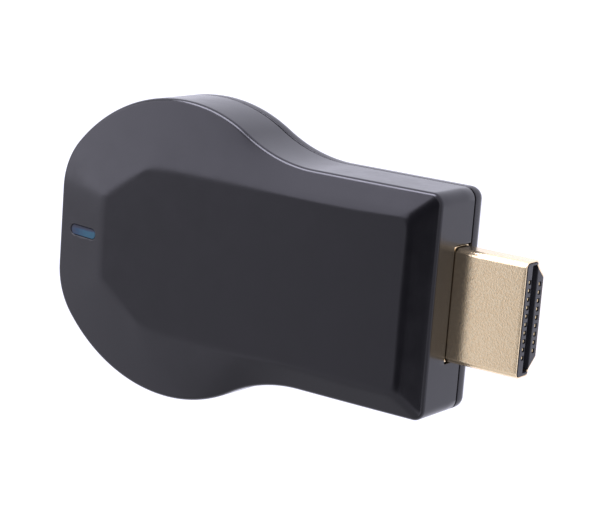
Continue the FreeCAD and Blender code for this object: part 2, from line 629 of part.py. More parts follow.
# ---------------------------------------------------------------- video plug
@sub_part
def plug_shell():
    body = new_body("plug_shell")
    root = "%s - plug_root" % RIGHT
    outer = new_sketch(body, "outer_profile", "YZ_Plane", root)
    plug_profile(outer, "0")
    tube = add_pad(body, outer, "tube", "plug_root + plug_reach")
    tube = add_fillet(body, tube, "tube_corners", "plug_corner", x_edge)
    collar = new_sketch(body, "collar_profile", "YZ_Plane", "%s - collar_set_back - collar_length" % RIGHT)
    plug_profile(collar, "collar_step")
    add_pad(body, collar, "collar", "collar_length")
    inner = new_sketch(body, "inner_profile", "YZ_Plane", root)
    plug_profile(inner, "-plug_skin")
    add_pocket(body, inner, "bore", "plug_root + plug_reach", True)
    return body


def contact_rows():
    """Each row of plug contacts: height from the plug's middle, and the number of contacts."""
    return (("plug_level + contact_top_row", 10), ("plug_level - contact_low_row", 9))


@sub_part
def plug_insulator():
    body = new_body("plug_insulator")
    profile = new_sketch(body, "block_profile", "YZ_Plane", "%s - plug_root + contact_tail" % RIGHT)
    plug_profile(profile, "-(plug_skin + solder)")
    add_pad(body, profile, "block", "plug_root + plug_reach - contact_tail - tip_recess")
    slot = new_sketch(body, "slot_profile", "YZ_Plane", TIP)
    rectangle(slot, "-tongue_slot_half", "tongue_slot_half", "plug_level - tongue_slot_low",
              "plug_level + tongue_slot_high")
    add_pocket(body, slot, "tongue_slot", "tongue_slot_depth", False)
    holes = new_sketch(body, "hole_profile", "YZ_Plane", TIP)
    for level, count in contact_rows():
        for i in range(count):
            middle = "contact_pitch * %g" % (i - (count - 1) / 2)
            rectangle(holes, middle + " - contact_hole / 2", middle + " + contact_hole / 2",
                      level + " - contact_hole / 2", level + " + contact_hole / 2")
    add_pocket(body, holes, "contact_holes", "plug_root + plug_reach", False)
    return body


@sub_part
def plug_contacts():
    """Nineteen strips: straight in the plug, then bent to meet the board's front or back face."""
    body = new_body("plug_contacts")
    front, rear = TIP + " - contact_set_back", "%s - plug_root + contact_tail - contact_bend" % RIGHT
    tail, bend = "%s - plug_root - contact_foot" % RIGHT, rear + " - contact_skin"
    for (level, count), name, sign in zip(contact_rows(), ("wide_row", "narrow_row"), ("+", "-")):
        board_face, other = (BOARD_FRONT, "-") if sign == "+" else (BOARD_BACK, "+")
        near, far = board_face + sign + "solder", "%s %s (solder + contact_skin)" % (board_face, sign)
        low, high = "%s %s contact_skin / 2" % (level, other), "%s %s contact_skin / 2" % (level, sign)
        edge = "contact_pitch * %g - contact_width / 2" % ((count - 1) / 2)
        side = new_sketch(body, name + "_side", "XZ_Plane", edge)
        polygon(side, [(front, low), (front, high), (bend, high), (bend, far), (tail, far), (tail, near),
                       (rear, near), (rear, low)])
        strip = add_pad(body, side, name + "_strip", "contact_width")
        row = body.newObject("PartDesign::LinearPattern", name)
        row.Originals = [strip]
        row.Direction = (side, ["N_Axis"])
        row.Length = value("contact_pitch * %d" % (count - 1))
        row.setExpression("Length", bound("contact_pitch * %d" % (count - 1)))
        row.Occurrences = count
        row.Reversed = True
        body.Tip = row
        doc.recompute()
    return body


# ---------------------------------------------------------------- power inlet
INLET_FRONT = "(inlet_set_back - %s)" % LEFT


def inlet_profile(sketch, inset):
    """Micro USB section: wide at the top, bevelled towards the board."""
    inset = "(%s)" % inset
    half, bevel = "inlet_width / 2 - %s" % inset, "inlet_bevel - %s * 0.4" % inset
    low, high = BOARD_FRONT + " + %s" % inset, BOARD_FRONT + " + inlet_height - %s" % inset
    polygon(sketch, [("-(%s) + %s" % (half, bevel), low), ("%s - (%s)" % (half, bevel), low),
                     (half, "%s + %s" % (low, bevel)), (half, high), ("-(%s)" % half, high),
                     ("-(%s)" % half, "%s + %s" % (low, bevel))])


@sub_part
def inlet_shell():
    body = new_body("inlet_shell")
    outer = new_sketch(body, "outer_profile", "YZ_Plane", INLET_FRONT)
    inlet_profile(outer, "0")
    box = add_pad(body, outer, "box", "inlet_depth")
    add_fillet(body, box, "box_corners", "inlet_skin * 1.4", x_edge)
    inner = new_sketch(body, "inner_profile", "YZ_Plane", INLET_FRONT)
    inlet_profile(inner, "inlet_skin")
    add_pocket(body, inner, "mouth", "inlet_depth", True)
    return body


TONGUE_TOP = "(%s + inlet_height / 2 + tongue_rise)" % BOARD_FRONT


@sub_part
def inlet_tongue():
    body = new_body("inlet_tongue")
    rear = new_sketch(body, "rear_profile", "YZ_Plane", "%s + inlet_depth" % INLET_FRONT)
    inlet_profile(rear, "inlet_skin + solder")
    add_pad(body, rear, "rear_block", "inlet_depth - tongue_length - tongue_set_back", reverse=True)
    blade = new_sketch(body, "blade_profile", "YZ_Plane", "%s + tongue_set_back" % INLET_FRONT)
    rectangle(blade, "-tongue_width / 2", "tongue_width / 2", TONGUE_TOP + " - tongue_skin", TONGUE_TOP)
    add_pad(body, blade, "blade", "tongue_length + tongue_skin / 3")
    return body


@sub_part
def inlet_contacts():
    body = new_body("inlet_contacts")
    strips = new_sketch(body, "strip_outlines", level=TONGUE_TOP + " - tongue_skin - inlet_contact_skin")
    start = "%s + tongue_set_back + inlet_contact_skin" % INLET_FRONT
    stop = "%s + tongue_set_back + tongue_length" % INLET_FRONT
    for i in range(5):
        middle = "inlet_pitch * %d" % (i - 2)
        rectangle(strips, start, stop, middle + " - inlet_contact / 2", middle + " + inlet_contact / 2")
    add_pad(body, strips, "strips", "inlet_contact_skin")
    return body


# ---------------------------------------------------------------- indicator light
@sub_part
def light_pipe():
    body = new_body("light_pipe")
    blade_low = CEILING + " - light_gap - light_flange_skin"
    slope_height = "(rim_height + (%s - light_x) * %s)" % (LEFT, SLOPE_RATE)
    face = new_sketch(body, "window_outline", level=blade_low)
    stadium(face, "-light_x", "0", "light_length", "light_width")
    add_pad(body, face, "window", "total_height - (%s)" % blade_low)
    above = new_sketch(body, "slope_profile", "XZ_Plane", "-light_width")
    low_end, high_end = "-light_x - light_length", "light_length - light_x"
    fall = "light_length * %s" % SLOPE_RATE
    polygon(above, [(low_end, "%s - light_recess - %s" % (slope_height, fall)),
                    (high_end, "%s - light_recess + %s" % (slope_height, fall)),
                    (high_end, "total_height + 1"), (low_end, "total_height + 1")])
    add_pocket(body, above, "slope_cut", "light_width * 2", True)
    flange = new_sketch(body, "flange_outline", level=blade_low)
    stadium(flange, "-light_x", "0", "light_length + light_flange * 2", "light_width + light_flange * 2")
    add_pad(body, flange, "flange", "light_flange_skin")
    arm = new_sketch(body, "arm_outline", level=blade_low + " - light_arm")
    rectangle(arm, "-light_x - light_arm", "light_arm / 2 - light_foot", "-light_width / 2",
              "light_width / 2")
    add_pad(body, arm, "arm", "light_arm")
    leg_low = "(%s + status_lamp_height + lamp_gap)" % BOARD_FRONT
    leg = new_sketch(body, "leg_outline", level=leg_low)
    rectangle(leg, "-light_foot - light_arm / 2", "light_arm / 2 - light_foot", "-light_width / 2",
              "light_width / 2")
    add_pad(body, leg, "leg", "%s - light_arm - %s" % (blade_low, leg_low))
    return body


# ---------------------------------------------------------------- side button and its switch
# Each of these is drawn in the button's own frame: first axis along the wall, second up, third outward.
SWITCH_FACE = "(-button_seat - button_flange_skin - touch_gap - plunger_proud)"


@sub_part
def function_button():
    body = new_body("function_button", button_frame())
    cap = new_sketch(body, "cap_outline", level="-button_seat")
    stadium(cap, "0", "0", "button_length", "button_height")
    pad = add_pad(body, cap, "cap", "button_seat + button_proud")
    add_fillet(body, pad, "cap_round", "button_proud * 0.5",
               lambda edge: edge.CenterOfMass.z > value("button_proud") - 0.001)
    flange = new_sketch(body, "flange_outline", level="-button_seat - button_flange_skin")
    stadium(flange, "0", "0", "button_length + button_flange * 2", "button_height + button_flange * 0.6")
    add_pad(body, flange, "flange", "button_flange_skin")
    return body


def plunger_hole(sketch):
    rectangle(sketch, "-plunger_length / 2 - plunger_gap", "plunger_length / 2 + plunger_gap",
              "-plunger_height / 2 - plunger_gap", "plunger_height / 2 + plunger_gap")


@sub_part
def switch_base():
    body = new_body("switch_base", button_frame())
    low = "%s - button_level" % BOARD_FRONT
    block = new_sketch(body, "block_outline", level="%s - switch_depth" % SWITCH_FACE)
    rectangle(block, "-switch_length / 2", "switch_length / 2", low, low + " + switch_height")
    add_pad(body, block, "block", "switch_depth")
    way = new_sketch(body, "plunger_way", level=SWITCH_FACE)
    plunger_hole(way)
    add_pocket(body, way, "guide", "switch_depth - switch_floor", False)
    seat = new_sketch(body, "dome_seat", level="%s - switch_depth + switch_floor" % SWITCH_FACE)
    circle(seat, "0", "0", "dome_radius + dome_gap")
    add_pocket(body, seat, "dome_seat_pocket", "dome_height + travel", True)
    return body


@sub_part
def switch_dome():
    """Sprung metal cap, a ring with a crown, that snaps under the plunger."""
    body = new_body("switch_dome", button_frame())
    seat = "%s - switch_depth + switch_floor" % SWITCH_FACE
    rim = new_sketch(body, "rim_outline", level=seat)
    circle(rim, "0", "0", "dome_radius")
    circle(rim, "0", "0", "dome_radius - dome_skin * 2")
    add_pad(body, rim, "rim", "dome_height - dome_skin")
    crown = new_sketch(body, "crown_outline", level=seat + " + dome_height - dome_skin")
    circle(crown, "0", "0", "dome_radius")
    add_pad(body, crown, "crown", "dome_skin")
    return body


@sub_part
def switch_plunger():
    body = new_body("switch_plunger", button_frame())
    tip = new_sketch(body, "tip_outline", level="-button_seat - button_flange_skin - touch_gap")
    rectangle(tip, "-plunger_length / 2", "plunger_length / 2", "-plunger_height / 2", "plunger_height / 2")
    reach = "plunger_proud + switch_depth - switch_floor - dome_height - travel - touch_gap"
    add_pad(body, tip, "tip", reach, reverse=True)
    return body


@sub_part
def switch_cover():
    body = new_body("switch_cover", button_frame())
    low = "%s - button_level" % BOARD_FRONT
    plate = new_sketch(body, "plate_outline", level=SWITCH_FACE)
    rectangle(plate, "-switch_length / 2", "switch_length / 2", low, low + " + switch_height")
    plunger_hole(plate)
    add_pad(body, plate, "plate", "cover_skin")
    return body


# ---------------------------------------------------------------- checks and files
doc.recompute()
failed = [thing.Name for thing in doc.Objects if {"Invalid", "Error"} & set(thing.State)]
if failed:
    raise RuntimeError("objects did not compute: %s" % ", ".join(failed))
for made_part in SUB_PARTS:
    made_shape = made_part.Shape
    if made_shape.isNull() or not made_shape.isValid() or not made_shape.Solids:
        raise RuntimeError("%s has no sound solid" % made_part.Label)
os.makedirs("parts", exist_ok=True)
for made_part in SUB_PARTS:
    made_part.Shape.exportStep("parts/%s.step" % made_part.Label)
print("%d sub-parts written" % len(SUB_PARTS))
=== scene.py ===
import json
import math

import bmesh
import bpy
import numpy as np
from mathutils import Matrix, Vector


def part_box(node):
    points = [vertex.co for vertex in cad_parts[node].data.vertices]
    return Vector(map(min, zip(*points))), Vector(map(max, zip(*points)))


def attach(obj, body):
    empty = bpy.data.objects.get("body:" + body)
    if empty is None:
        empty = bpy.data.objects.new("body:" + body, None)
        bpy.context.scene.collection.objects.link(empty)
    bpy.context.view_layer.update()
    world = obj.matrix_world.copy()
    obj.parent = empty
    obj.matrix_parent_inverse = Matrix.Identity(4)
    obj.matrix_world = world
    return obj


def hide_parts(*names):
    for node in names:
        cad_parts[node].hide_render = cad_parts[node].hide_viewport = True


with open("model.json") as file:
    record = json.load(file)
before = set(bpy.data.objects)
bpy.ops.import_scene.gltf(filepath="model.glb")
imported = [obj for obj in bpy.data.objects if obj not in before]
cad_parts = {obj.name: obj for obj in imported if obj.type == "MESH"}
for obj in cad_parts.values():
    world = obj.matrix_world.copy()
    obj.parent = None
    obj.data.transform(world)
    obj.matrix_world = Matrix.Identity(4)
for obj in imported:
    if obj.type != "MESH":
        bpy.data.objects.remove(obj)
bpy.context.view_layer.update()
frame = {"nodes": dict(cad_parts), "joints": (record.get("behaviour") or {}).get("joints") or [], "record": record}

# The mesh code below works in millimetres; MM turns them into Blender's metres.
MM = 0.001
NODES = frame["nodes"]


def node_box(node):
    """Lowest and highest corner of a CAD node, in millimetres."""
    low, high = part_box(node)
    return low / MM, high / MM


# Housing: its ends, its half width at the head, and its heights come from the frame.
FRONT_LOW, FRONT_HIGH = node_box("front_shell")
LEFT, RIGHT, HEAD = FRONT_LOW.x, FRONT_HIGH.x, FRONT_HIGH.y
PART_LINE, TOTAL = FRONT_LOW.z, FRONT_HIGH.z
NECK, END_FLAT = 13.65, 5.2
SHOULDER_R, CROWN_R, WAIST_R, CORNER_R = 9.75, 22.1, 20.4, 1.5
RIM, RIM_ROUND, BACK_ROUND = TOTAL - 1.4, 0.6, 1.6
WALL, FLOOR_SKIN = 1.3, 1.2
PART_GAP, PART_ROUND = 0.12, 0.1             # half the groove between the shells, and its edges' rounding
LIP_SKIN, LIP_HEIGHT = 0.6, 0.8
STEP = 0.55                                  # distance between samples of the outline

# Raised flat of the front face, and the half width of the soft bend around it.
FLAT_LEFT, FLAT_SHOULDER, FLAT_RIGHT, FLAT_HALF = -25.5, -18.3, 20.9, 10.5
FLAT_PLUG_HALF, FLAT_NOSE, FLAT_CORNER, FLAT_CORNER_RISE = 10.8, 5.4, 0.8, 0.43
FLAT_MID_LEFT, FLAT_MID_RIGHT = -2.0, 8.0
CREASE, CREASE_RIGHT, FLAT_PASSES = 0.75, 0.65, 24

# Video plug.
PLUG_LOW, PLUG_HIGH = node_box("plug_shell")
TIP, PLUG_ROOT = PLUG_HIGH.x, PLUG_LOW.x
PLUG_HALF, PLUG_RISE, PLUG_FOOT, PLUG_LEVEL = 6.95, 2.225, 4.9, 4.0
PLUG_SKIN, PLUG_SET_BACK, PLUG_GAP = 0.24, 0.08, 0.2
CONTACT_ROWS = ((1.2, 10), (-1.25, 9))       # height from the plug's middle, and number of contacts
CONTACT_PITCH, CONTACT_WIDTH, CONTACT_SKIN, CONTACT_HOLE = 1.0, 0.3, 0.2, 0.55

# Board faces, and the parts that show through the housing.
BOARD_BACK, BOARD_FRONT = PLUG_LEVEL - 0.5, PLUG_LEVEL + 0.5
INLET_LOW, INLET_HIGH = node_box("inlet_shell")
INLET_LEVEL = (INLET_LOW.z + INLET_HIGH.z) / 2
LIGHT_FOOT = node_box("light_pipe")[0].z
LIGHT_X, LIGHT_LENGTH, LIGHT_WIDTH, LIGHT_RECESS = -29.1, 4.8, 1.3, 0.06
BUTTON_LENGTH, BUTTON_HEIGHT, BUTTON_PROUD, BUTTON_SEAT = 4.2, 2.0, 0.45, 1.75
LIGHT_GAP, BUTTON_GAP, INLET_OPENING = 0.05, 0.12, (8.5, 3.5)
TONGUE_SLOT = (-6.4, 6.4, -0.5, 0.8)         # left, right, low and high edge, from the plug's middle

# Screw bosses, pillars and snap hooks inside the housing.
BOSSES, BOSS_R, BOSS_HOLE = [(-10.5, side * 12.6) for side in (-1, 1)], 1.9, 0.75
PILLARS, PILLAR_R = [(-27.0, side * 8.0) for side in (-1, 1)], 0.9
HOOK_STARTS, HOOK_LENGTH, HOOK_SKIN, HOOK_TOOTH = (8.0, 17.5), 2.5, 0.8, 0.3


# ---------------------------------------------------------------- meshes
def mesh_object(name, points, faces, body, slot):
    """New piece from points in millimetres, riding on a body."""
    mesh = bpy.data.meshes.new(name)
    mesh.from_pydata([tuple(float(c) * MM for c in point) for point in points], [], faces)
    mesh.update()
    piece = bpy.data.objects.new(name, mesh)
    bpy.context.scene.collection.objects.link(piece)
    if body:
        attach(piece, body)
    outward(piece)
    return piece


def outward(piece):
    """Turn every face of a closed skin outwards."""
    grid = bmesh.new()
    grid.from_mesh(piece.data)
    bmesh.ops.recalc_face_normals(grid, faces=grid.faces)
    grid.to_mesh(piece.data)
    grid.free()


def loft_data(rings, closed=False):
    """Points and faces of a closed skin through rings of equally many points."""
    count = len(rings[0])
    points = [point for ring in rings for point in ring]
    pairs = list(zip(range(len(rings) - 1), range(1, len(rings))))
    if closed:
        pairs.append((len(rings) - 1, 0))
    faces = []
    for low, high in pairs:
        for i in range(count):
            j = (i + 1) % count
            faces.append((low * count + i, low * count + j, high * count + j, high * count + i))
    if not closed:
        faces.append(tuple(reversed(range(count))))
        faces.append(tuple(range((len(rings) - 1) * count, len(rings) * count)))
    return points, faces


def merge(parts):
    """Several (points, faces) skins as one."""
    points, faces = [], []
    for more_points, more_faces in parts:
        offset = len(points)
        points += list(more_points)
        faces += [tuple(i + offset for i in face) for face in more_faces]
    return points, faces


def apply_modifiers(piece):
    """Keep what the modifiers make, and drop the modifiers."""
    graph = bpy.context.evaluated_depsgraph_get()
    made = bpy.data.meshes.new_from_object(piece.evaluated_get(graph))
    piece.modifiers.clear()
    piece.data = made


def cut(piece, cutter_data):
    """Cut a closed skin out of a piece."""
    cutter = mesh_object("cutter", *cutter_data, None, None)
    modifier = piece.modifiers.new("cut", "BOOLEAN")
    modifier.operation = "DIFFERENCE"
    modifier.solver = "EXACT"
    modifier.object = cutter
    apply_modifiers(piece)
    bpy.data.objects.remove(cutter)


def shade(piece, angle=32.0):
    """Smooth shading that keeps edges sharper than an angle, with flat faces staying flat."""
    mesh = piece.data
    mesh.polygons.foreach_set("use_smooth", [True] * len(mesh.polygons))
    mesh.set_sharp_from_angle(angle=math.radians(angle))
    weighted = piece.modifiers.new("weighted", "WEIGHTED_NORMAL")
    weighted.keep_sharp = True
    weighted.weight = 100
    apply_modifiers(piece)


def quarter(steps):
    """Angles of a quarter circle, end points included."""
    return [math.pi / 2 * i / steps for i in range(steps + 1)]


def round_over(radius, steps):
    """(inward, back) shifts that round an edge over, from its side face to its end face."""
    return [(radius * (1 - math.cos(angle)), radius * (1 - math.sin(angle))) for angle in quarter(steps)]


def at_height(ring, height):
    return [(a, b, height) for a, b in ring]


def placed(rings, spot, across, up, out):
    """Ring coordinates (across, up, out) turned into the part's own frame."""
    across, up, out, spot = Vector(across), Vector(up), Vector(out), Vector(spot)
    return [[tuple(spot + across * a + up * b + out * c) for a, b, c in ring] for ring in rings]


# Across, up and out on a face that looks along +X, as the plug's does.
FACING_PLUG = ((0, 1, 0), (0, 0, 1), (1, 0, 0))


# ---------------------------------------------------------------- rings
def stadium_ring(length, width, steps=10):
    """Flat ring with round ends, long along its first axis, counter-clockwise."""
    reach, radius = (length - width) / 2, width / 2
    ring = []
    for side in (1, -1):
        for i in range(steps + 1):
            angle = -math.pi / 2 + math.pi * i / steps
            ring.append((side * (reach + radius * math.cos(angle)), side * radius * math.sin(angle)))
    return ring


def circle_ring(radius, x=0.0, y=0.0, steps=32):
    return [(x + radius * math.cos(2 * math.pi * i / steps), y + radius * math.sin(2 * math.pi * i / steps))
            for i in range(steps)]


def rounded(corners, steps=5):
    """Closed ring through (a, b, radius) corners, each rounded by its own radius."""
    ring = []
    count = len(corners)
    for i, (a, b, radius) in enumerate(corners):
        here = np.array((a, b))
        to_last = np.array(corners[i - 1][:2]) - here
        to_next = np.array(corners[(i + 1) % count][:2]) - here
        to_last, to_next = to_last / np.linalg.norm(to_last), to_next / np.linalg.norm(to_next)
        half = math.acos(max(-1, min(1, float(to_last @ to_next)))) / 2
        leg = radius / math.tan(half)
        middle = here + (to_last + to_next) / np.linalg.norm(to_last + to_next) * radius / math.sin(half)
        first, last = here + to_last * leg - middle, here + to_next * leg - middle
        begin = math.atan2(first[1], first[0])
        swing = (math.atan2(last[1], last[0]) - begin + math.pi) % (2 * math.pi) - math.pi
        for j in range(steps + 1):
            angle = begin + swing * j / steps
            ring.append((middle[0] + radius * math.cos(angle), middle[1] + radius * math.sin(angle)))
    return ring


def rectangle_ring(low_a, high_a, low_b, high_b, radius=0.15, steps=3):
    corners = ((low_a, low_b), (high_a, low_b), (high_a, high_b), (low_a, high_b))
    return rounded([(a, b, radius) for a, b in corners], steps)


def grown(ring, margin):
    """A closed ring moved outwards by a margin, corner by corner."""
    spots = np.array(ring)
    ahead = np.roll(spots, -1, axis=0) - spots
    ahead = ahead / np.maximum(np.linalg.norm(ahead, axis=1), 1e-9)[:, None]
    behind = np.roll(ahead, 1, axis=0)
    normal = np.stack([ahead[:, 1] + behind[:, 1], -ahead[:, 0] - behind[:, 0]], axis=1)
    length = np.maximum(np.linalg.norm(normal, axis=1), 1e-9)[:, None]
    stretch = np.clip(2 / length, 1, 1.6)
    return spots + margin * normal / length * stretch


def prism(ring, low, high, edge=0.08, steps=3):
    """Rings of an upright solid whose two end edges are rounded."""
    shifts = round_over(edge, steps)
    rings = [at_height(grown(ring, -inward), low + back) for inward, back in reversed(shifts)]
    return rings + [at_height(grown(ring, -inward), high - back) for inward, back in shifts]


def mouth_rings(ring, depth, surface, lip):
    """Rings of a cutter that flares into a rounded lip; surface gives the height at each ring point."""
    rings = [[(a, b, -depth) for a, b in ring]]
    for spread, back in round_over(lip, 4):
        rings.append([(a, b, surface(a, b) - back) for a, b in grown(ring, spread)])
    rings.append([(a, b, surface(a, b) + 1.0) for a, b in grown(ring, lip * 1.2)])
    return rings


def tube(spot, low, high, radius, hole=0.0):
    """Upright round post, or a tube when it has a hole."""
    if not hole:
        return loft_data(prism(circle_ring(radius, *spot), low, high, 0.1))
    outer, inner = circle_ring(radius, *spot), circle_ring(hole, *spot)
    return loft_data([at_height(outer, low), at_height(outer, high), at_height(inner, high),
                      at_height(inner, low)], True)


def across_x(rings, level=0.0):
    """Rings drawn as (y, z, x), with z from a level, turned into the part's own frame."""
    return placed(rings, (0, 0, level), *FACING_PLUG)


# ---------------------------------------------------------------- housing outline
def straight(x_from, y_from, x_to, y_to, normal):
    """Samples (x, y, outward x, outward y) along a line, its last point left out."""
    count = max(1, math.ceil(math.hypot(x_to - x_from, y_to - y_from) / STEP))
    return [(x_from + (x_to - x_from) * i / count, y_from + (y_to - y_from) * i / count, *normal)
            for i in range(count)]


def bend(x, y, radius, start, stop, hollow=False):
    """Samples along an arc between two angles in degrees; a hollow arc faces its own centre."""
    swing = math.radians(stop - start)
    count = max(2, math.ceil(abs(swing) * radius / STEP), math.ceil(abs(stop - start) / 7.5))
    sign = -1 if hollow else 1
    samples = []
    for i in range(count):
        angle = math.radians(start) + swing * i / count
        cos, sin = math.cos(angle), math.sin(angle)
        samples.append((x + radius * cos, y + radius * sin, sign * cos, sign * sin))
    return samples


def along(samples, start, stop):
    """Point of the raised flat that each sample's slope runs up to."""
    count = len(samples)
    return [(start[0] + (stop[0] - start[0]) * i / count, start[1] + (stop[1] - start[1]) * i / count)
            for i in range(count)]


# Angle between the shoulder's and the crown's meeting point and +Y, seen from their centres.
SHOULDER_TURN = math.asin((CROWN_R + END_FLAT - HEAD) / (CROWN_R - SHOULDER_R))
WIDEST = LEFT + SHOULDER_R + (CROWN_R - SHOULDER_R) * math.cos(SHOULDER_TURN)


def housing_outline():
    """Outline samples, counter-clockwise from the middle of the plug's wall, and their points on the flat."""
    turn = math.degrees(SHOULDER_TURN)
    swing = math.degrees(math.acos(1 - (HEAD - NECK) / (2 * WAIST_R)))
    waist = WIDEST + 2 * WAIST_R * math.sin(math.radians(swing))
    inner = RIGHT - CORNER_R
    stretches = [
        (straight(RIGHT, 0, RIGHT, NECK - CORNER_R, (1, 0)), (FLAT_RIGHT, 0)),
        (bend(inner, NECK - CORNER_R, CORNER_R, 0, 90), (FLAT_RIGHT, FLAT_PLUG_HALF - FLAT_CORNER)),
        (straight(inner, NECK, waist, NECK, (0, 1)), (FLAT_RIGHT - FLAT_CORNER, FLAT_PLUG_HALF)),
        (bend(waist, NECK + WAIST_R, WAIST_R, -90, -90 - swing, hollow=True), (FLAT_MID_RIGHT, FLAT_HALF)),
        (bend(WIDEST, HEAD - WAIST_R, WAIST_R, 90 - swing, 90), (FLAT_MID_LEFT, FLAT_HALF)),
        (bend(WIDEST, HEAD - CROWN_R, CROWN_R, 90, 180 - turn), (FLAT_SHOULDER, FLAT_HALF)),
        (bend(LEFT + SHOULDER_R, END_FLAT, SHOULDER_R, 180 - turn, 180),
         (FLAT_LEFT + FLAT_CORNER, FLAT_NOSE + FLAT_CORNER_RISE)),
        (straight(LEFT, END_FLAT, LEFT, 0, (-1, 0)), (FLAT_LEFT, FLAT_NOSE)),
    ]
    stops = [start for samples, start in stretches[1:]] + [(FLAT_LEFT, 0)]
    upper = [sample for samples, start in stretches for sample in samples]
    flat = []
    for (samples, start), stop in zip(stretches, stops):
        flat += along(samples, start, stop)
    lower = [(x, -y, across, -up) for x, y, across, up in reversed(upper[1:])]
    flat_lower = [(x, -y) for x, y in reversed(flat[1:])]
    upper.append((LEFT, 0, -1, 0))
    flat.append((FLAT_LEFT, 0))
    return np.array(upper + lower), np.array(flat + flat_lower)


OUTLINE, FLAT = housing_outline()
for _ in range(FLAT_PASSES):
    FLAT = 0.25 * np.roll(FLAT, 1, axis=0) + 0.5 * FLAT + 0.25 * np.roll(FLAT, -1, axis=0)


def inset(distance):
    """The outline moved inwards; a corner with no radius left to lose shifts as it is."""
    spare = max(0.0, distance - CORNER_R + 0.05)
    x, y = OUTLINE[:, 0], OUTLINE[:, 1]
    corner = (x >= RIGHT - CORNER_R) & (np.abs(y) >= NECK - CORNER_R)
    shift = spare * np.stack([corner, corner * np.sign(y)], axis=1)
    return OUTLINE[:, :2] - (distance - spare * corner)[:, None] * OUTLINE[:, 2:] - shift


def slope_height(x):
    """Height of the slope at the flat end above a point at x."""
    return RIM + (x - LEFT) * (TOTAL - RIM) / (FLAT_LEFT - LEFT)


# ---------------------------------------------------------------- housing
def rim_rings():
    """Rings that round the rim over from the side wall to the slope, touching both."""
    tilt = np.arctan((TOTAL - RIM) / np.linalg.norm(FLAT - inset(0), axis=1))
    touch = RIM_ROUND * np.tan((math.pi / 2 - tilt) / 2)
    rings = []
    for angle in quarter(8):
        lean = angle / (math.pi / 2) * (math.pi / 2 - tilt)
        spots = OUTLINE[:, :2] - (RIM_ROUND * (1 - np.cos(lean)))[:, None] * OUTLINE[:, 2:]
        heights = RIM - touch + RIM_ROUND * np.sin(lean)
        rings.append([(x, y, z) for (x, y), z in zip(spots, heights)])
    return rings


def slope_rings(last_ring):
    """Rings from the rim up the slopes, and over the soft bend onto the raised flat."""
    start, start_z = np.array(last_ring)[:, :2], np.array(last_ring)[:, 2]
    way = FLAT - start
    run = np.linalg.norm(way, axis=1)
    way = way / run[:, None]
    rise = (TOTAL - start_z) / run
    blend = CREASE + (CREASE_RIGHT - CREASE) * np.maximum(OUTLINE[:, 2], 0)
    rings = []
    for share in (0.2, 0.4, 0.6, 0.8, 1.0):
        reach = (run - blend) * share
        spots = start + way * reach[:, None]
        rings.append([(x, y, z) for (x, y), z in zip(spots, start_z + rise * reach)])
    for share in (0.75, 0.5, 0.25, 0.0, -0.25, -0.5, -0.75, -1.0):
        back = blend * share
        spots = FLAT - way * back[:, None]
        fall = rise * (back + blend) ** 2 / (4 * blend)
        rings.append([(x, y, TOTAL - drop) for (x, y), drop in zip(spots, fall)])
    return rings


def front_rings():
    """Rings of the front shell: down the inside, round the lower edge, up the outside, over the slopes."""
    low = PART_LINE + PART_GAP
    rings = [at_height(inset(WALL), RIM - WALL), at_height(inset(WALL), low)]
    rings += [at_height(inset(inward), low + back) for inward, back in reversed(round_over(PART_ROUND, 3))]
    foot, head = low + PART_ROUND, RIM - RIM_ROUND
    for share in (0.25, 0.5, 0.75):
        rings.append(at_height(inset(0), foot + (head - foot) * share))
    rings += rim_rings()
    return rings + slope_rings(rings[-1])


def button_place():
    """Middle of the button on the outer wall, and its axes: along the wall, up, and out of the wall."""
    outwards = -Vector(frame["joints"][0]["axis"])
    low, high = node_box("function_button")
    centre = Vector((WIDEST, CROWN_R - HEAD, (low.z + high.z) / 2))
    return centre + outwards * CROWN_R, Vector((0, 0, 1)).cross(outwards), Vector((0, 0, 1)), outwards


def make_front_shell():
    piece = mesh_object("front_shell_skin", *loft_data(front_rings()), "casing", "housing")
    slot = mouth_rings(stadium_ring(LIGHT_LENGTH + 2 * LIGHT_GAP, LIGHT_WIDTH + 2 * LIGHT_GAP), -RIM + 2.0,
                       lambda a, b: slope_height(a + LIGHT_X), 0.1)
    cut(piece, loft_data([[(a + LIGHT_X, b, c) for a, b, c in ring] for ring in slot]))
    inlet = mouth_rings(stadium_ring(*INLET_OPENING), WALL + 0.3, lambda a, b: 0.0, 0.25)
    cut(piece, loft_data(placed(inlet, (LEFT, 0, INLET_LEVEL), (0, -1, 0), (0, 0, 1), (-1, 0, 0))))
    key_hole = stadium_ring(BUTTON_LENGTH + 2 * BUTTON_GAP, BUTTON_HEIGHT + 2 * BUTTON_GAP)
    button = mouth_rings(key_hole, WALL + 0.9, lambda a, b: -a * a / (2 * CROWN_R), 0.15)
    cut(piece, loft_data(placed(button, *button_place())))
    opening = rectangle_ring(-PLUG_HALF - PLUG_GAP, PLUG_HALF + PLUG_GAP, -3.0, PLUG_RISE + 0.12)
    mouth = mouth_rings(opening, WALL + 0.5, lambda a, b: 0.0, 0.08)
    cut(piece, loft_data(placed(mouth, (RIGHT, 0, PLUG_LEVEL), *FACING_PLUG)))
    shade(piece)
    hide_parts("front_shell")
    ceiling = RIM - WALL
    inside = [tube(spot, BOARD_FRONT, ceiling + 0.3, BOSS_R, hole=BOSS_HOLE) for spot in BOSSES]
    inside += [tube(spot, BOARD_FRONT, ceiling + 0.3, PILLAR_R) for spot in PILLARS]
    posts = mesh_object("front_shell_posts", *merge(inside), "casing", "housing")
    shade(posts)
    return [piece, posts]


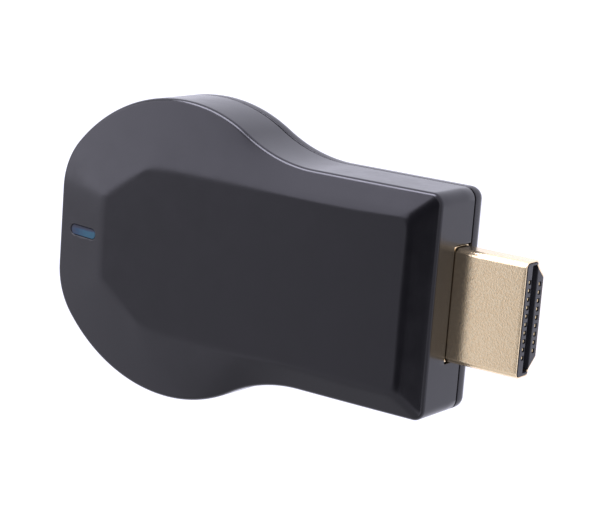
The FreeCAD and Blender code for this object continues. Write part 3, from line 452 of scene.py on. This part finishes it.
def back_hook(start, side):
    """Snap hook inside the neck's wall: an upright tongue with a catch at its top."""
    outer = NECK - WALL - 0.05
    inner, top, foot, tooth = outer - HOOK_SKIN, PART_LINE + 2.6, FLOOR_SKIN - 0.2, outer + HOOK_TOOTH
    profile = rounded([(outer, foot, 0.05), (outer, top - 0.75, 0.05), (tooth, top - 0.45, 0.08),
                       (tooth, top - 0.25, 0.08), (outer, top, 0.1), (inner, top, 0.1),
                       (inner, foot, 0.05)], 3)
    rings = prism(profile, start, start + HOOK_LENGTH, 0.04)
    return loft_data(placed(rings, (0, 0, 0), (0, side, 0), (0, 0, 1), (1, 0, 0)))


def make_back_shell():
    high, lip, top, bevel = PART_LINE - PART_GAP, WALL + 0.05, PART_LINE + LIP_HEIGHT, 0.15
    rings = [at_height(inset(inward), back) for inward, back in reversed(round_over(BACK_ROUND, 10))]
    rings += [at_height(inset(inward), high - back) for inward, back in round_over(PART_ROUND, 3)]
    lip_profile = ((lip, high), (lip, top - bevel), (lip + bevel, top), (lip + LIP_SKIN, top),
                   (lip + LIP_SKIN, FLOOR_SKIN))
    rings += [at_height(inset(inward), height) for inward, height in lip_profile]
    piece = mesh_object("back_shell_skin", *loft_data(rings), "casing", "housing")
    mouth = mouth_rings(collar_ring(PLUG_GAP), WALL * 2, lambda a, b: 0.0, 0.08)
    cut(piece, loft_data(placed(mouth, (RIGHT, 0, PLUG_LEVEL), *FACING_PLUG)))
    shade(piece)
    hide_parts("back_shell")
    inside = [tube(spot, FLOOR_SKIN - 0.2, BOARD_BACK, PILLAR_R) for spot in PILLARS]
    inside += [back_hook(start, side) for start in HOOK_STARTS for side in (-1, 1)]
    posts = mesh_object("back_shell_hooks", *merge(inside), "casing", "housing")
    shade(posts)
    return [piece, posts]


# ---------------------------------------------------------------- video plug
def plug_ring(grow=0.0):
    """D-shaped section of the plug in (y, z), z from the plug's own middle, counter-clockwise."""
    half, rise, foot = PLUG_HALF + grow, PLUG_RISE + grow, PLUG_FOOT + grow * 0.6
    outer, small = max(0.15, 0.75 + grow), max(0.12, 0.45 + grow)
    right = [
        (foot, -rise, small), (half - 0.75, -0.78 - grow * 0.8, 0.5), (half, -0.55 - grow * 0.8, 0.2),
        (half, rise, outer),
    ]
    return rounded(right + [(-a, b, radius) for a, b, radius in reversed(right)])


def collar_ring(grow):
    """Section of the plug's root, whose lower corners are fuller than the plug's own."""
    half, rise = PLUG_HALF + grow, PLUG_RISE + grow
    right = [(PLUG_FOOT + 0.9, -rise, 0.2), (half, -1.0 - grow, 0.25), (half, rise, 0.3)]
    return rounded(right + [(-a, b, radius) for a, b, radius in reversed(right)])


def make_plug_shell():
    """Folded metal tube with a rounded tip, and the fuller root that fills the housing's opening."""
    lip, crest = PLUG_SKIN / 2, TIP - PLUG_SET_BACK
    rings = [at_height(plug_ring(), x) for x in (PLUG_ROOT, TIP - 5.0, crest - lip - 0.35)]
    rings.append(at_height(plug_ring(-0.02), crest - lip))
    for i in range(1, 9):
        angle = math.pi * i / 8
        fold = plug_ring(-lip + lip * math.cos(angle) * 0.9)
        rings.append(at_height(fold, crest - lip + lip * math.sin(angle)))
    rings += [at_height(plug_ring(-PLUG_SKIN), x) for x in (crest - lip - 0.35, PLUG_ROOT)]
    rear, front, edge, fit = RIGHT - WALL, RIGHT - 0.15, 0.22, 0.1
    collar = [(-fit, rear), (fit, rear)]
    collar += [(fit - inward, front - back) for inward, back in round_over(edge, 4)]
    collar_rings = [at_height(collar_ring(grow), x) for grow, x in collar]
    skins = [loft_data(across_x(skin, PLUG_LEVEL), True) for skin in (rings, collar_rings)]
    piece = mesh_object("plug_shell_skin", *merge(skins), "casing", "plug_gold")
    shade(piece, 40)
    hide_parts("plug_shell")
    return [piece]


def contact_spots():
    """Every contact of the plug: its row, its side step in y, and its height in the plug's section."""
    return [(row, CONTACT_PITCH * (i - (count - 1) / 2), level)
            for row, (level, count) in enumerate(CONTACT_ROWS) for i in range(count)]


def make_plug_insulator():
    """Black moulding in the plug, with the tongue slot and one hole for each contact."""
    face, rear = TIP, PLUG_ROOT + 2.4
    block = loft_data(across_x(prism(plug_ring(-PLUG_SKIN - 0.02), rear, face, 0.05), PLUG_LEVEL))
    piece = mesh_object("plug_insulator_block", *block, "casing", "insulator")
    slot = mouth_rings(rectangle_ring(*TONGUE_SLOT, 0.12), 8.0, lambda a, b: 0.0, 0.12)
    cut(piece, loft_data(placed(slot, (face, 0, PLUG_LEVEL), *FACING_PLUG)))
    half = CONTACT_HOLE / 2
    square = rectangle_ring(-half, half, -half, half, 0.08)
    hole = mouth_rings(square, face - rear + 0.5, lambda a, b: 0.0, 0.05)
    holes = [loft_data(placed(hole, (face, step, PLUG_LEVEL + level), *FACING_PLUG))
             for row, step, level in contact_spots()]
    cut(piece, merge(holes))
    shade(piece)
    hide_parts("plug_insulator")
    return [piece]


def make_plug_contacts():
    """Plated strips with rounded tips, each bent behind the plug to meet the board."""
    front, rear, tail, sag = TIP - 0.14, PLUG_ROOT + 1.9, PLUG_ROOT - 1.0, 0.1
    strips = []
    for row, step, level in contact_spots():
        sign, foot = (1, BOARD_FRONT) if row == 0 else (-1, BOARD_BACK)
        middle = PLUG_LEVEL + level - sag
        low, high = middle - sign * CONTACT_SKIN / 2, middle + sign * CONTACT_SKIN / 2
        near, far = foot + sign * 0.02, foot + sign * (0.02 + CONTACT_SKIN)
        behind = rear - CONTACT_SKIN
        bent = rounded([(front, low, 0.09), (front, high, 0.09), (behind, high, 0.15), (behind, far, 0.05),
                        (tail, far, 0.05), (tail, near, 0.05), (rear, near, 0.1), (rear, low, 0.03)], 3)
        rings = prism(bent, step - CONTACT_WIDTH / 2, step + CONTACT_WIDTH / 2, 0.03, 2)
        strips.append(loft_data(placed(rings, (0, 0, 0), (1, 0, 0), (0, 0, 1), (0, 1, 0))))
    piece = mesh_object("plug_contact_strips", *merge(strips), "casing", "contact_gold")
    shade(piece)
    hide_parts("plug_contacts")
    return [piece]


# ---------------------------------------------------------------- power inlet, light and button
def inlet_ring(margin=0.0):
    """Section of the power inlet in (y, z), z from its middle: wide at the top, bevelled below."""
    half, rise, bevel = 3.75 - margin, 1.25 - margin, 1.0 - margin * 0.4
    corners = ((bevel - half, -rise), (half - bevel, -rise), (half, bevel - rise), (half, rise),
               (-half, rise), (-half, bevel - rise))
    return rounded([(a, b, 0.35 - margin * 0.6) for a, b in corners])


def make_inlet_shell():
    """Bent sheet-metal mouth with a rolled front edge."""
    skin, front, rear = 0.25, INLET_LOW.x, INLET_HIGH.x
    roll = skin / 2
    rings = [at_height(inlet_ring(), rear), at_height(inlet_ring(), front + 0.3)]
    for i in range(9):
        angle = math.pi * i / 8
        lip = inlet_ring(roll * (1 - math.cos(angle)))
        rings.append(at_height(lip, front + roll * (1 - math.sin(angle))))
    rings += [at_height(inlet_ring(skin), front + 0.4), at_height(inlet_ring(skin), rear)]
    mouth = loft_data(across_x(rings, INLET_LEVEL), True)
    piece = mesh_object("inlet_shell_skin", *mouth, "casing", "inlet_steel")
    shade(piece, 40)
    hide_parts("inlet_shell")
    return [piece]


def make_inlet_tongue():
    """Black tongue with a bevelled nose, and the block behind it."""
    low, high = node_box("inlet_tongue")
    top = INLET_LEVEL + 0.45
    nose = rounded([(-1.95, 0.0, 0.3), (1.95, 0.0, 0.3), (1.95, 4.0, 0.1), (-1.95, 4.0, 0.1)])
    blade = placed(prism(nose, top - 0.6, top, 0.12), (low.x, 0, 0), (0, 1, 0), (1, 0, 0), (0, 0, 1))
    rear = across_x(prism(inlet_ring(0.27), high.x - 1.0, high.x, 0.05), INLET_LEVEL)
    skins = [loft_data(blade), loft_data(rear)]
    piece = mesh_object("inlet_tongue_blade", *merge(skins), "casing", "insulator")
    shade(piece)
    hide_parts("inlet_tongue")
    return [piece]


def make_light_pipe():
    """Window just below the slope, its flange, and the arm and leg that lead down to the lamp."""
    flange_low, foot, half = RIM - WALL - 0.75, -25.4, 0.5
    window = stadium_ring(LIGHT_LENGTH, LIGHT_WIDTH)
    rings = [at_height(window, flange_low)]
    for narrowing, drop in ((0.0, 0.05), (0.03, 0.0), (0.3, 0.0), (0.5, 0.0)):
        narrow = grown(window, -narrowing)
        rings.append([(a, b, slope_height(a + LIGHT_X) - LIGHT_RECESS - drop) for a, b in narrow])
    skins = [loft_data([[(a + LIGHT_X, b, c) for a, b, c in ring] for ring in rings])]
    flange = [(a + LIGHT_X, b) for a, b in stadium_ring(LIGHT_LENGTH + 1.2, LIGHT_WIDTH + 1.2)]
    skins.append(loft_data(prism(flange, flange_low, flange_low + 0.7, 0.1)))
    arm = rectangle_ring(LIGHT_X - half, foot + half, -half, half)
    skins.append(loft_data(prism(arm, flange_low - 1.0, flange_low + 0.2, 0.1)))
    leg = rectangle_ring(foot - half, foot + half, -half, half)
    skins.append(loft_data(prism(leg, LIGHT_FOOT, flange_low - 0.5, 0.1)))
    piece = mesh_object("light_pipe_window", *merge(skins), "casing", "light_window")
    shade(piece)
    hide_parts("light_pipe")
    return [piece]


def make_button():
    """Key cap with a softly dished face, and the flange that keeps it in the housing."""
    cap = stadium_ring(BUTTON_LENGTH, BUTTON_HEIGHT, 12)
    edge, dish = 0.22, 0.1
    rings = [at_height(cap, -BUTTON_SEAT - 0.1), at_height(cap, BUTTON_PROUD - edge)]
    rings += [at_height(grown(cap, -inward), BUTTON_PROUD - back) for inward, back in round_over(edge, 5)[1:]]
    for share in (0.8, 0.6, 0.4, 0.2, 0.05):
        drop = dish * (1 - share) ** 0.5 * (1 if share < 0.8 else 0.5)
        inner = stadium_ring(BUTTON_LENGTH - BUTTON_HEIGHT + (BUTTON_HEIGHT - 2 * edge) * share,
                             (BUTTON_HEIGHT - 2 * edge) * share, 12)
        rings.append(at_height(inner, BUTTON_PROUD - drop))
    brim = stadium_ring(BUTTON_LENGTH + 1.1, BUTTON_HEIGHT + 0.33)
    flange = prism(brim, -BUTTON_SEAT - 0.6, -BUTTON_SEAT, 0.08)
    skins = [loft_data(placed(rings, *button_place())), loft_data(placed(flange, *button_place()))]
    piece = mesh_object("function_button_cap", *merge(skins), "button", "button_plastic")
    shade(piece, 40)
    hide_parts("function_button")
    return [piece]


# ---------------------------------------------------------------- materials
class Finish:
    """A node material whose colour, roughness and bump come from noise in the object's own space."""

    def __init__(self, name, **sockets):
        self.material = bpy.data.materials.new(name)
        self.material.use_nodes = True
        self.tree = self.material.node_tree
        self.shader = self.tree.nodes["Principled BSDF"]
        self.place = self.tree.nodes.new("ShaderNodeTexCoord").outputs["Object"]
        for socket, number in sockets.items():
            self.shader.inputs[socket.replace("_", " ")].default_value = number

    def noise(self, size_mm, detail=2.0, stretch=(1, 1, 1)):
        """Noise with features of about a size, as a 0 to 1 value."""
        node = self.tree.nodes.new("ShaderNodeTexNoise")
        node.inputs["Scale"].default_value = 1 / (size_mm * MM)
        node.inputs["Detail"].default_value = detail
        place = self.place
        if stretch != (1, 1, 1):
            mapping = self.tree.nodes.new("ShaderNodeMapping")
            mapping.inputs["Scale"].default_value = stretch
            self.tree.links.new(place, mapping.inputs["Vector"])
            place = mapping.outputs["Vector"]
        self.tree.links.new(place, node.inputs["Vector"])
        return node.outputs["Fac"]

    def distance(self, axis, low_mm, high_mm):
        """Share of the way along an axis between two places in the part's own frame."""
        parts = self.tree.nodes.new("ShaderNodeSeparateXYZ")
        self.tree.links.new(self.place, parts.inputs["Vector"])
        return self.spread(parts.outputs[axis], 0.0, 1.0, low_mm * MM, high_mm * MM)

    def spread(self, value, low, high, start=0.3, stop=0.7):
        node = self.tree.nodes.new("ShaderNodeMapRange")
        for socket, number in (("From Min", start), ("From Max", stop), ("To Min", low), ("To Max", high)):
            node.inputs[socket].default_value = number
        self.tree.links.new(value, node.inputs["Value"])
        return node.outputs["Result"]

    def add(self, one, other, share):
        """One value plus a share of another."""
        node = self.tree.nodes.new("ShaderNodeMath")
        node.operation = "MULTIPLY_ADD"
        node.inputs[1].default_value = share
        self.tree.links.new(other, node.inputs[0])
        self.tree.links.new(one, node.inputs[2])
        return node.outputs["Value"]

    def product(self, one, other):
        node = self.tree.nodes.new("ShaderNodeMath")
        node.operation = "MULTIPLY"
        self.tree.links.new(one, node.inputs[0])
        self.tree.links.new(other, node.inputs[1])
        return node.outputs["Value"]

    def colour(self, value, stops):
        """Colour ramp over a 0 to 1 value, from (place, colour) stops."""
        ramp = self.tree.nodes.new("ShaderNodeValToRGB")
        elements = ramp.color_ramp.elements
        while len(elements) < len(stops):
            elements.new(0.5)
        for element, (position, rgb) in zip(elements, stops):
            element.position = position
            element.color = (*rgb, 1.0)
        self.tree.links.new(value, ramp.inputs["Fac"])
        self.tree.links.new(ramp.outputs["Color"], self.shader.inputs["Base Color"])

    def rough(self, value, low, high):
        self.tree.links.new(self.spread(value, low, high), self.shader.inputs["Roughness"])

    def bump(self, value, depth_mm, strength=1.0):
        node = self.tree.nodes.new("ShaderNodeBump")
        node.inputs["Distance"].default_value = depth_mm * MM
        node.inputs["Strength"].default_value = strength
        self.tree.links.new(value, node.inputs["Height"])
        self.tree.links.new(node.outputs["Normal"], self.shader.inputs["Normal"])


def moulded(name, dark, light, grain_mm=0.12, rough=(0.32, 0.4), depth_mm=0.004, **sockets):
    """Moulded plastic: faint mottling, fine spark-eroded grain and slightly uneven gloss."""
    made = Finish(name, **sockets)
    made.colour(made.spread(made.noise(6.0, 3.0), 0.0, 1.0), [(0.0, dark), (1.0, light)])
    made.rough(made.noise(2.5, 4.0), *rough)
    made.bump(made.noise(grain_mm, 3.0), depth_mm)
    return made


def metal(name, dark, light, grain_mm, rough, depth_mm, stretch=(1, 1, 1)):
    """Plated metal with a blasted or drawn surface."""
    made = Finish(name, Metallic=1.0)
    grain = made.noise(grain_mm, 2.0, stretch)
    made.colour(made.spread(grain, 0.0, 1.0), [(0.0, dark), (1.0, light)])
    made.rough(made.noise(grain_mm * 2.2, 3.0, stretch), *rough)
    made.bump(grain, depth_mm)
    return made


def grey(value, blue=1.0):
    return (value, value, value * blue)


def housing_plastic():
    return moulded("housing_black", (0.0030, 0.0029, 0.0038), (0.0040, 0.0038, 0.0050), rough=(0.17, 0.23),
                   depth_mm=0.002, Specular_IOR_Level=0.46, Specular_Tint=(0.94, 0.93, 1.0, 1.0))


def light_window():
    """Clear blue plastic with painted light and shade: a painted reflection makes it greyer towards the flat end,
    and painted shade makes it darker along its +Y edge.
    """
    made = Finish("blue_window", Specular_IOR_Level=0.35)
    along_x = made.distance("X", LIGHT_X - LIGHT_LENGTH / 2, LIGHT_X + LIGHT_LENGTH / 2)
    across_y = made.distance("Y", LIGHT_WIDTH / 2 - 0.1, LIGHT_WIDTH / 2 - 0.5)
    # Painted light and shade: lighter towards the plug end, darker along the +Y edge where the recess's shadow
    # falls.
    painted_light_share = made.product(made.add(along_x, across_y, 0.4), across_y)
    # Random mottling is added on top of the painted light and shade.
    painted_light_and_mottle = made.add(painted_light_share, made.spread(made.noise(0.6, 2.0), -1.0, 1.0), 0.1)
    made.colour(painted_light_and_mottle, [(0.0, (0.002, 0.004, 0.016)), (0.4, (0.014, 0.022, 0.045)),
                         (0.65, (0.005, 0.030, 0.070)), (1.0, (0.008, 0.058, 0.098))])
    made.rough(made.noise(1.0, 3.0), 0.14, 0.24)
    made.bump(made.noise(0.3, 2.0), 0.003)
    return made


MATERIALS = {
    "housing": housing_plastic(),
    "button_plastic": moulded("button_black", grey(0.010, 1.2), grey(0.014, 1.2), rough=(0.28, 0.36)),
    "plug_gold": metal("blasted_gold", (0.94, 0.72, 0.45), (1.0, 0.845, 0.59), 0.18, (0.15, 0.24), 0.016),
    "insulator": moulded("connector_black", grey(0.022, 1.2), grey(0.035, 1.2), 0.25, (0.32, 0.5), 0.012),
    "contact_gold": metal("contact_gold", (0.80, 0.62, 0.34), (0.95, 0.78, 0.48), 0.3, (0.16, 0.24), 0.002,
                          (0.2, 1, 1)),
    "inlet_steel": metal("nickel_plate", grey(0.50), grey(0.68), 0.4, (0.22, 0.32), 0.002, (0.2, 1, 1)),
    "light_window": light_window(),
    "laminate": moulded("solder_resist", (0.012, 0.07, 0.03), (0.02, 0.11, 0.05), rough=(0.25, 0.4)),
    "chip": moulded("package_black", grey(0.02), grey(0.035), 0.08, (0.5, 0.65), 0.006),
    "can_metal": metal("tinned_sheet", grey(0.50), grey(0.66), 0.5, (0.28, 0.4), 0.003, (0.15, 1, 1)),
    "ceramic_white": moulded("antenna_ceramic", (0.62, 0.60, 0.54), (0.74, 0.72, 0.66), 0.1, (0.45, 0.6)),
    "ceramic_tan": moulded("capacitor_ceramic", (0.28, 0.17, 0.09), (0.40, 0.27, 0.16), 0.1, (0.4, 0.55)),
    "inductor": moulded("ferrite_grey", grey(0.07), grey(0.11), 0.15, (0.5, 0.7), 0.01),
    "lamp": moulded("lamp_resin", (0.70, 0.72, 0.60), (0.82, 0.84, 0.72), 0.2, (0.15, 0.25)),
    "thermal_pad": moulded("gap_filler", (0.22, 0.30, 0.38), (0.28, 0.37, 0.46), 0.3, (0.6, 0.8), 0.02),
    "spreader": metal("rolled_aluminium", grey(0.72), grey(0.84), 0.6, (0.25, 0.38), 0.002, (0.08, 1, 1)),
    "screw_steel": metal("zinc_plate", grey(0.42), grey(0.58), 0.3, (0.25, 0.36), 0.003),
    "plunger_plastic": moulded("plunger_black", grey(0.03), grey(0.045), rough=(0.4, 0.5)),
}
MAKERS = {
    "housing": (make_front_shell, make_back_shell),
    "plug_gold": (make_plug_shell,),
    "insulator": (make_plug_insulator, make_inlet_tongue),
    "contact_gold": (make_plug_contacts,),
    "inlet_steel": (make_inlet_shell,),
    "light_window": (make_light_pipe,),
    "button_plastic": (make_button,),
}


def dress(piece, slot):
    piece.data.materials.clear()
    piece.data.materials.append(MATERIALS[slot].material)


for entry in frame["record"]["subparts"]:
    dress(NODES[entry["node"]], entry["material_slot"])
for slot_name, makers in MAKERS.items():
    for maker in makers:
        for made_piece in maker():
            dress(made_piece, slot_name)


# ---------------------------------------------------------------- floor, light and camera
def make_floor():
    size = 1.5
    mesh = bpy.data.meshes.new("floor")
    corners = [(-size, -size, 0), (size, -size, 0), (size, size, 0), (-size, size, 0)]
    mesh.from_pydata(corners, [], [(0, 1, 2, 3)])
    floor = bpy.data.objects.new("floor", mesh)
    bpy.context.scene.collection.objects.link(floor)
    made = Finish("floor_white", Emission_Color=(0.87, 0.87, 1.0, 1.0), Emission_Strength=1.18)
    made.colour(made.noise(40.0, 2.0), [(0.0, grey(0.09)), (1.0, grey(0.10))])
    made.rough(made.noise(30.0), 0.75, 0.85)
    mesh.materials.append(made.material)
    floor.location.z = -0.0001


def area_light(name, spot_mm, size_mm, power, up=(0.0, 0.0, 1.0)):
    """Softbox aimed at the middle of the part, its height turned towards a direction."""
    lamp = bpy.data.lights.new(name, "AREA")
    lamp.shape = "RECTANGLE"
    lamp.size, lamp.size_y = size_mm[0] * MM, size_mm[1] * MM
    lamp.energy = power
    lamp.color = (0.88, 0.87, 1.0)
    away = Vector(spot_mm).normalized()
    side = Vector(up).cross(away).normalized()
    axes = Matrix((side, away.cross(side), away)).transposed()
    holder = bpy.data.objects.new(name, lamp)
    holder.matrix_world = Matrix.Translation(Vector(spot_mm) * MM) @ axes.to_4x4()
    bpy.context.scene.collection.objects.link(holder)


def make_world():
    """Studio backdrop: bright at the horizon, dim straight overhead, a little dimmer in front."""
    world = bpy.data.worlds.new("studio")
    world.use_nodes = True
    tree = world.node_tree
    place = tree.nodes.new("ShaderNodeTexCoord")
    parts = tree.nodes.new("ShaderNodeSeparateXYZ")
    ramp = tree.nodes.new("ShaderNodeValToRGB")
    side = tree.nodes.new("ShaderNodeMapRange")
    stops = [(0.0, 1.0), (0.55, 0.88), (0.83, 0.97), (0.94, 0.10)]
    while len(ramp.color_ramp.elements) < len(stops):
        ramp.color_ramp.elements.new(0.5)
    for element, (height, level) in zip(ramp.color_ramp.elements, stops):
        element.position = height
        element.color = (level * 0.92, level * 0.91, level, 1.0)
    for socket, number in (("From Min", -1.0), ("From Max", 1.0), ("To Min", 0.78), ("To Max", 1.2)):
        side.inputs[socket].default_value = number
    tree.links.new(place.outputs["Generated"], parts.inputs["Vector"])
    tree.links.new(parts.outputs["Z"], ramp.inputs["Fac"])
    tree.links.new(parts.outputs["Y"], side.inputs["Value"])
    tree.links.new(ramp.outputs["Color"], tree.nodes["Background"].inputs["Color"])
    tree.links.new(side.outputs["Result"], tree.nodes["Background"].inputs["Strength"])
    bpy.context.scene.world = world


def make_lights():
    area_light("back_left_box", (-405, 167, 408), (560, 413), 1.31, up=(-0.232, 0.960, -0.152))
    area_light("left_box", (-480, -260, 300), (320, 320), 0.11)
    area_light("front_box", (225, -330, 465), (350, 290), 0.25)
    area_light("back_box", (-190, 500, 215), (400, 300), 4.3)


def make_camera():
    camera = bpy.data.cameras.new("camera")
    camera.sensor_width = 36.0
    camera.lens = 120.0
    camera.clip_start = 0.01
    holder = bpy.data.objects.new("camera", camera)
    spot, target = Vector((139.5, 52.5, 204.7)), Vector((2.18, 0.75, 6.0))
    ahead = (target - spot).normalized()
    side = ahead.cross(Vector((0, 1, 0))).normalized()
    up = side.cross(ahead)
    roll = Matrix.Rotation(math.radians(-4.47), 3, ahead)
    frame_axes = Matrix((roll @ side, roll @ up, -ahead)).transposed()
    holder.matrix_world = Matrix.Translation(spot * MM) @ frame_axes.to_4x4()
    bpy.context.scene.collection.objects.link(holder)
    bpy.context.scene.camera = holder


make_floor()
make_world()
make_lights()
make_camera()
bpy.context.scene.view_settings.view_transform = "Standard"
